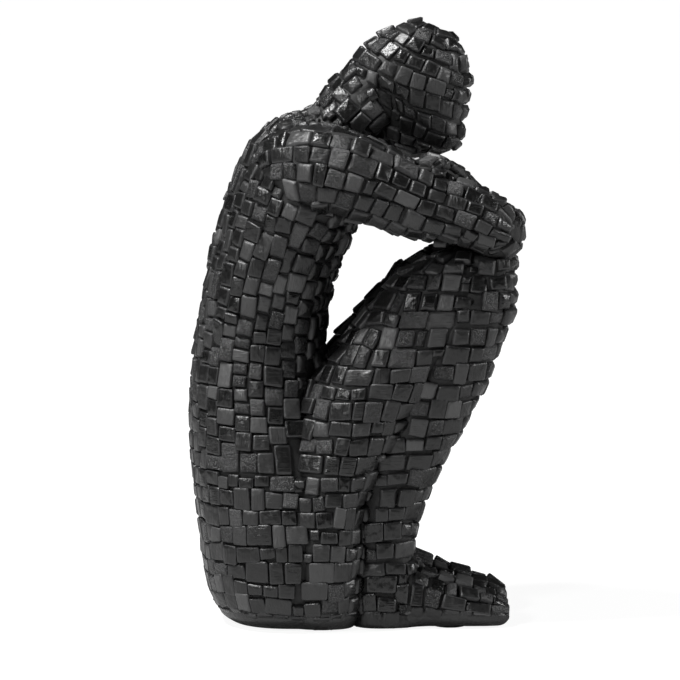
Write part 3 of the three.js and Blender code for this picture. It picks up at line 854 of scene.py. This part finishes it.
def block_resin():
    """Resin of the blocks: each block's own numbers set its shade, gloss, brush marks and pits."""
    made, shader, place = material("block_resin")
    tree = made.node_tree
    tone, rim, grain = (add(tree, "ShaderNodeAttribute", attribute_name=name).outputs["Fac"]
                        for name in ("tone", "rim", "grain"))
    cloud = noise(place, Scale=420.0, Detail=3.0)
    pit = noise(place, Scale=850.0, Detail=5.0, Roughness=0.7)
    # colour: lighter on some blocks, dusty between the pits of others, and on worn edges
    shade = ramp(tone, [(0.0, 0.003), (0.5, 0.005), (0.75, 0.010), (0.9, 0.030), (1.0, 0.070)])
    pitted = ramp(grain, [(0.0, 0.05), (0.76, 0.14), (0.84, 0.9), (1.0, 1.0)])
    speck = ramp(pit, [(0.0, 0.0), (0.44, 0.02), (0.62, 0.9), (1.0, 1.0)])
    dusty = blend(maths("MULTIPLY", pitted, speck), shade, (0.040, 0.040, 0.041, 1))
    worn = blend(maths("MULTIPLY", rim, cloud), dusty, (0.035, 0.035, 0.036, 1))
    # gloss: from block to block, in clouds, and blunter on worn edges
    gloss = add(tree, "ShaderNodeMapRange", Value=tone, To_Min=0.18, To_Max=0.37).outputs["Result"]
    gloss = maths("MULTIPLY_ADD", cloud, 0.14, gloss)
    gloss = maths("MULTIPLY_ADD", rim, 0.08, gloss)
    # an uneven face and brush marks on all blocks, upright on some and level on others, and pits on a few
    uneven = bump(noise(place, Scale=270.0, Detail=1.0), Distance=0.0005)
    upright, level = (add(tree, "ShaderNodeMapping", Vector=place, Scale=scale).outputs["Vector"]
                      for scale in ((1.0, 1.0, 0.12), (0.14, 0.14, 1.0)))
    upright, level = (noise(way, Scale=1500.0, Detail=2.0) for way in (upright, level))
    strokes = add(tree, "ShaderNodeMix", Factor=maths("GREATER_THAN", grain, 0.45), A=upright, B=level)
    brushed = bump(strokes.outputs["Result"], Distance=0.0004, Strength=0.6, Normal=uneven)
    normal = bump(pit, Distance=0.0009, Strength=pitted, Normal=brushed)
    feed(shader, IOR=1.5, Base_Color=worn, Roughness=gloss, Normal=normal)
    return made


BLOCK_RESIN = block_resin()
print(BLOCK_RESIN.name, "has", len(BLOCK_RESIN.node_tree.nodes), "nodes")

# %% [markdown]
# ## The six castings
#
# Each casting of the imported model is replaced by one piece: the beds of its limbs and the blocks on them.
# Faces of the bed take the groove's material.

# %% Make the castings


def join(meshes):
    """Several meshes as one, with the faces counted on from one to the next."""
    starts = np.cumsum([0] + [len(m.points) for m in meshes[:-1]])
    faces = [[i + int(start) for i in face] for m, start in zip(meshes, starts) for face in m.faces]
    values = [np.concatenate([getattr(m, key) for m in meshes]) for key in ("kinds", "tone", "rim", "grain")]
    return Mesh(np.concatenate([m.points for m in meshes]), faces, *values)


def put(name, made, materials):
    """A named, smooth object at the origin, with each face's material and three attributes."""
    mesh = bpy.data.meshes.new(name)
    mesh.from_pydata(made.points.tolist(), [], made.faces)
    for one in materials:
        mesh.materials.append(one)
    mesh.polygons.foreach_set("material_index", made.kinds.astype(np.int32))
    mesh.polygons.foreach_set("use_smooth", np.ones(len(made.faces), bool))
    for key, values in (("tone", made.tone), ("rim", made.rim), ("grain", made.grain)):
        mesh.attributes.new(key, "FLOAT", "POINT").data.foreach_set("value", values.astype(np.float32))
    mesh.update()
    piece = bpy.data.objects.new(name, mesh)
    bpy.context.scene.collection.objects.link(piece)
    return piece


def casting(node):
    """One casting: every limb's blocks and bed as one piece that stands for the node."""
    mosaic = [blocks(np.concatenate([cells, small]), one.rng, one.setting)
              for one, cells, small in zip(LAID, CELLS, SMALL) if one.node == node]
    ground = [bed(LIMBS[name]) for name in dict(CASTINGS[node])]
    piece = put(node.replace("casting", "mosaic"), join(mosaic + ground), (BLOCK_RESIN, GROOVE_RESIN))
    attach(piece, "root")
    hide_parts(node)
    count = sum(len(m.points) // WHOLE for m in mosaic)
    print(piece.name, count, "blocks,", len(piece.data.polygons), "faces")


for node in CASTINGS:
    casting(node)

# %% [markdown]
# ## Felt pads and dowels
#
# Four self-adhesive felt discs keep the casting off the table. A disc is punched from a sheet, so its edge
# is a little frayed and its upper and lower rims are soft. It is a profile carried round, with a wavy edge.
# The dowels stay inside the castings, as the solids that they are, and only get a brushed steel.

# %% Felt and steel
DISC = 64  # points round a felt disc
FRAY, FRAY_WAVES = 0.01, (5, 9, 14)  # how far the edge waves, as a share, and how often
SOFT = 0.3  # how far the soft rims reach in, in thicknesses


def felt():
    """Black felt: fine fibres in shade and bump, and a sheen."""
    made, shader, place = material("black_felt")
    fibre = noise(place, Scale=2600.0, Detail=5.0, Roughness=0.7)
    feed(shader, Roughness=0.95, Sheen_Weight=0.3,
         Base_Color=ramp(fibre, [(0.0, 0.006), (1.0, 0.030)]),
         Normal=bump(fibre, Distance=0.0002, Strength=0.8))
    return made


def steel():
    """Steel with an uneven gloss."""
    made, shader, place = material("brushed_steel")
    lines = noise(place, Scale=900.0, Detail=3.0)
    feed(shader, Metallic=1.0, Base_Color=(0.55, 0.55, 0.56, 1),
         Roughness=ramp(lines, [(0.0, 0.25), (1.0, 0.45)]))
    return made


FELT, STEEL = felt(), steel()


def felt_pad(node, seed):
    """A felt disc in the place of a pad: rings from below, round its soft and wavy edge, to its top."""
    low, high = (np.array(corner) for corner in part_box(node))
    radius, thick = (high[0] - low[0]) / 2, high[2] - low[2]
    soft = SOFT * thick / radius
    far = np.array([0.5, 1 - soft, 1 - 0.3 * soft, 1, 1, 1 - 0.3 * soft, 1 - soft, 0.5])
    up = np.array([0, 0, 0.08, 0.3, 0.7, 0.92, 1, 1]) * thick
    turn = 2 * np.pi * np.arange(DISC) / DISC
    phase = np.random.default_rng(seed).uniform(0, 2 * np.pi, len(FRAY_WAVES))
    wave = np.mean([np.sin(k * turn + p) for k, p in zip(FRAY_WAVES, phase)], axis=0)
    reach = radius * far[:, None] * (1 - FRAY + FRAY * wave)
    rings = np.stack([reach * np.cos(turn), reach * np.sin(turn), np.tile(up[:, None], DISC)], -1)
    ends = np.array([[0, 0, 0], [0, 0, thick]])
    points = np.concatenate([rings.reshape(-1, 3), ends]) + np.array([*(low + high)[:2] / 2, low[2]])
    quads, fans = tube_faces(len(rings), DISC)
    faces = quads.tolist() + fans
    blank = np.zeros(len(points))
    made = Mesh(points, faces, np.zeros(len(faces)), blank, blank, blank)
    piece = put(node.replace("pad", "felt"), made, (FELT,))
    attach(piece, "root")
    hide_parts(node)
    return piece


places = [(side, place) for side in ("right", "left") for place in ("seat", "foot")]
PADS = [felt_pad(f"{side}_{place}_pad", i) for i, (side, place) in enumerate(places)]
DOWELS = [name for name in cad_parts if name.endswith("dowel")]
for name in DOWELS:
    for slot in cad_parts[name].material_slots:
        slot.material = STEEL
print([pad.name for pad in PADS], "and steel on", DOWELS)

# %% [markdown]
# ## Floor, light and camera
#
# The photograph is a cut-out on white, taken a little above the middle of the figure with a long lens. A
# pale floor keeps a soft shadow, and three small soft boxes light the figure from above on the left, from
# the left in front and from the right. White is shown to the camera alone, because black resin would mirror
# it.

# %% Floor and white surroundings
NEAR_FLOOR, FAR_FLOOR = 0.8 * HEIGHT, 2.5 * HEIGHT  # where it starts to whiten, and is white


def for_camera(usual, seen, output):
    """One shader for the camera's own rays, and the usual one for all others."""
    tree = usual.id_data
    mix = add(tree, "ShaderNodeMixShader", Fac=add(tree, "ShaderNodeLightPath").outputs["Is Camera Ray"])
    tree.links.new(usual, mix.inputs[1])
    tree.links.new(seen, mix.inputs[2])
    tree.links.new(mix.outputs["Shader"], tree.nodes[output].inputs["Surface"])


def white_floor():
    """Pale for every ray. For the camera it glows almost white, with a faint shadow near the figure, and
    fully white far off, where the lamps no longer reach."""
    made, shader, place = material("white_floor")
    tree = made.node_tree
    feed(shader, Base_Color=(0.52, 0.52, 0.52, 1), Roughness=0.8)
    off = add(tree, "ShaderNodeVectorMath", operation="LENGTH", Vector=place).outputs["Value"]
    whiter = add(tree, "ShaderNodeMapRange", Value=off, From_Min=NEAR_FLOOR, From_Max=FAR_FLOOR,
                 To_Min=0.9, To_Max=1.0)
    glow = add(tree, "ShaderNodeEmission", Strength=whiter.outputs["Result"])
    veil = add(tree, "ShaderNodeBsdfDiffuse", Color=(0.22, 0.22, 0.22, 1))
    both = add(tree, "ShaderNodeAddShader")
    tree.links.new(glow.outputs["Emission"], both.inputs[0])
    tree.links.new(veil.outputs["BSDF"], both.inputs[1])
    for_camera(shader.outputs["BSDF"], both.outputs["Shader"], "Material Output")
    return made


bpy.ops.mesh.primitive_plane_add(size=60)
floor = bpy.context.object
floor.name = "floor"
floor.data.materials.append(white_floor())

world = bpy.data.worlds.new("studio")
bpy.context.scene.world = world
world.use_nodes = True
dim = feed(world.node_tree.nodes["Background"], Color=(0.028, 0.028, 0.028, 1))
white = add(world.node_tree, "ShaderNodeBackground", Color=(1, 1, 1, 1), Strength=1.0)
for_camera(dim.outputs["Background"], white.outputs["Background"], "World Output")
print(floor.name, "and", world.name, "are in place")

# %% Lamps
AIM = (0, 0, 0.14)


def soft_box(name, place, size, power):
    """A square lamp at a place, facing the figure."""
    lamp = bpy.data.lights.new(name, "AREA")
    lamp.size = size
    lamp.energy = power
    made = bpy.data.objects.new(name, lamp)
    made.location = place
    made.rotation_euler = (Vector(AIM) - Vector(place)).to_track_quat("-Z", "Y").to_euler()
    bpy.context.scene.collection.objects.link(made)
    print(name, power, "W, square of", size, "m")


soft_box("soft_box_above", (-0.50, -0.22, 1.2), 0.24, 26)
soft_box("soft_box_left", (-0.75, -1.15, 0.75), 0.20, 8)
soft_box("soft_box_right", (1.25, 0.0, 0.5), 0.3, 9)

# %% Camera
VIEW_HEIGHT = 6.5  # degrees above level
DISTANCE = 1.70
LENS = 216.6  # mm
camera = bpy.data.objects.new("camera", bpy.data.cameras.new("camera"))
camera.data.lens = LENS
looked_at = Vector((-0.0067, 0, 0.1171))
tilt = np.radians(VIEW_HEIGHT)
camera.location = looked_at + DISTANCE * Vector((0, -np.cos(tilt), np.sin(tilt)))
camera.rotation_euler = (looked_at - camera.location).to_track_quat("-Z", "Y").to_euler()
bpy.context.scene.collection.objects.link(camera)
bpy.context.scene.camera = camera
bpy.context.scene.view_settings.view_transform = "Standard"
print("camera at", np.round(camera.location, 3), "m")
